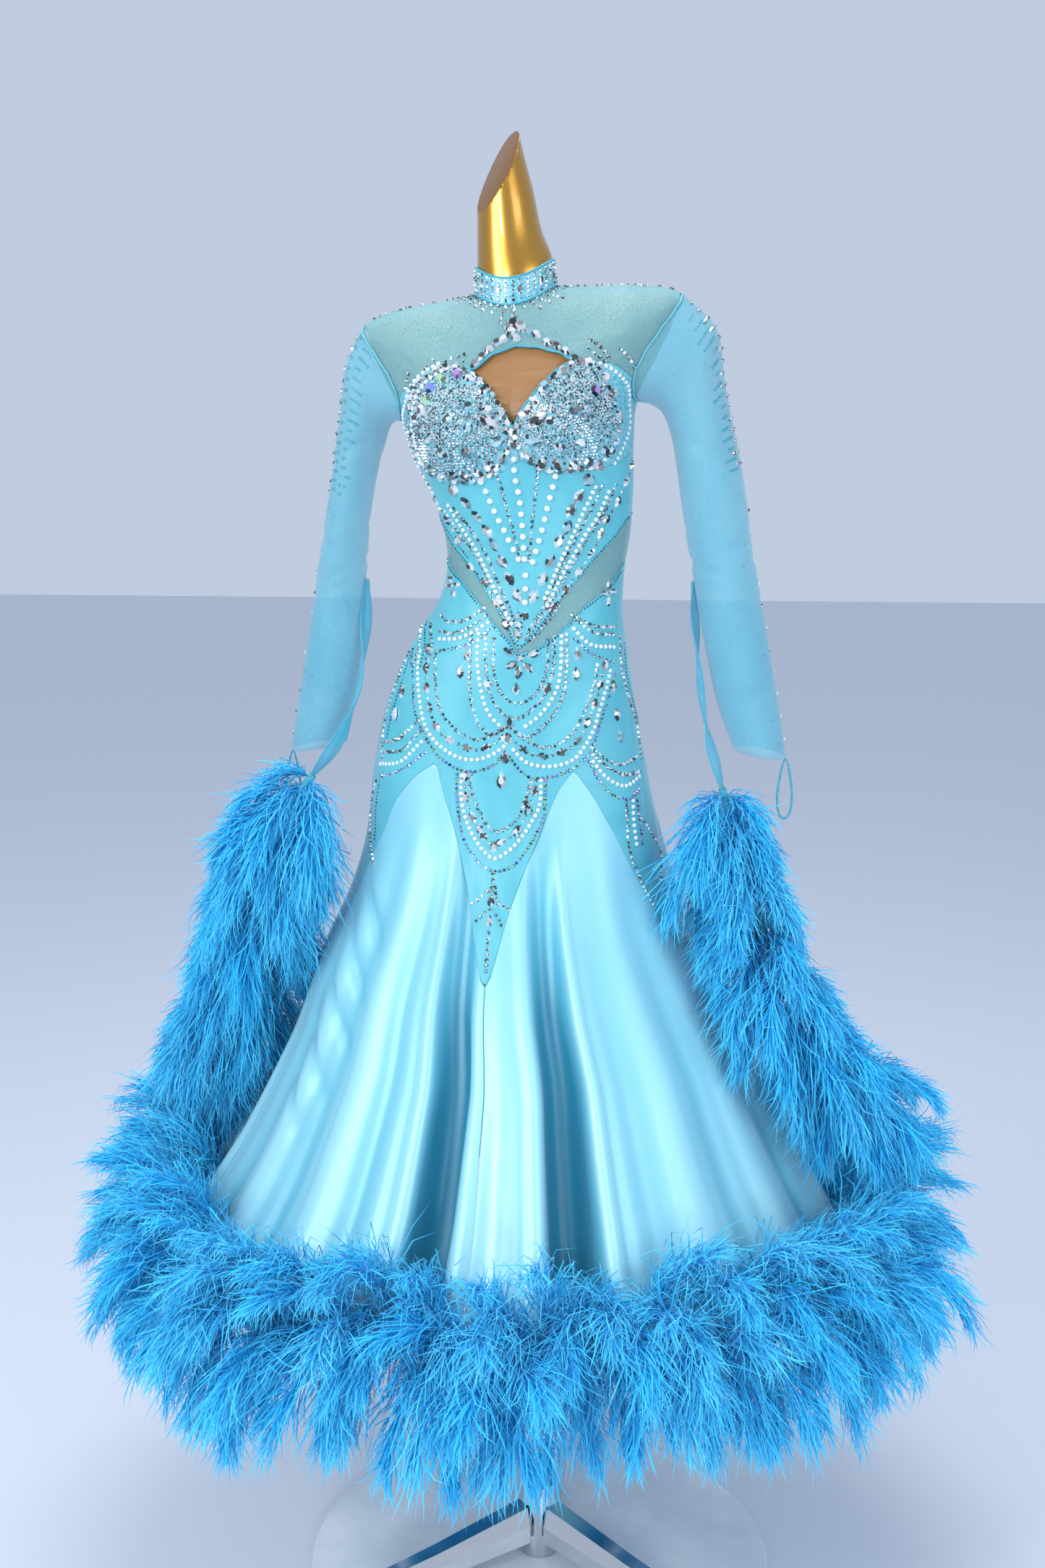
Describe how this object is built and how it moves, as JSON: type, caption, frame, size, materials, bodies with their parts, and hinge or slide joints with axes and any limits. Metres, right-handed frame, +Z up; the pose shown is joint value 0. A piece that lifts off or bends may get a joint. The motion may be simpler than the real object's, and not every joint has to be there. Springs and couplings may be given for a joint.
{
  "type": "ballroom gown on a dress form",
  "caption": "Long-sleeved ballroom gown with a stoned bodice, godet skirt and feather boas, on its limbless dress form and round stand.",
  "frame": {"origin": "centre of the round base plate's underside, on the floor", "axes": "+Z up along the pole; the gown's front faces -Y; left and right in the names are a viewer's from the front, so right is +X"},
  "size_m": [1.1658, 1.1736, 1.7518],
  "materials": {
    "aqua_lycra": "matt-satin knit",
    "power_mesh": "sheer knitted mesh",
    "aqua_satin": "satin",
    "chiffon": "sheer crepe",
    "ostrich_feather": "dyed, soft",
    "stoned_lycra": "covered with cut stones",
    "gold_lacquer": "glossy metallic lacquer",
    "stockinet": "smooth knitted cover",
    "chrome": "polished",
    "white_board": "white laminate"
  },
  "bodies": {
    "root": {"base_plate": "white_board", "boa_hem": "ostrich_feather", "boa_left": "ostrich_feather", "boa_right": "ostrich_feather", "bodice_back": "aqua_lycra", "bodice_front": "aqua_lycra", "collar": "stoned_lycra", "cup_left": "stoned_lycra", "cup_right": "stoned_lycra", "finger_loop_left": "aqua_lycra", "finger_loop_right": "aqua_lycra", "float_strip_left": "chiffon", "float_strip_right": "chiffon", "form_neck_cap": "gold_lacquer", "form_torso": "stockinet", "godet_back_left": "aqua_satin", "godet_back_right": "aqua_satin", "godet_front_left": "aqua_satin", "godet_front_right": "aqua_satin", "godet_side_left": "aqua_satin", "godet_side_right": "aqua_satin", "hip_yoke_back": "aqua_lycra", "hip_yoke_front": "aqua_lycra", "sleeve_left": "power_mesh", "sleeve_right": "power_mesh", "stand_arm_1": "chrome", "stand_arm_2": "chrome", "stand_arm_3": "chrome", "stand_hub": "chrome", "stand_pole": "chrome", "waist_insert_left": "power_mesh", "waist_insert_right": "power_mesh", "yoke_back": "power_mesh", "yoke_front": "power_mesh"}
  },
  "joints": []
}
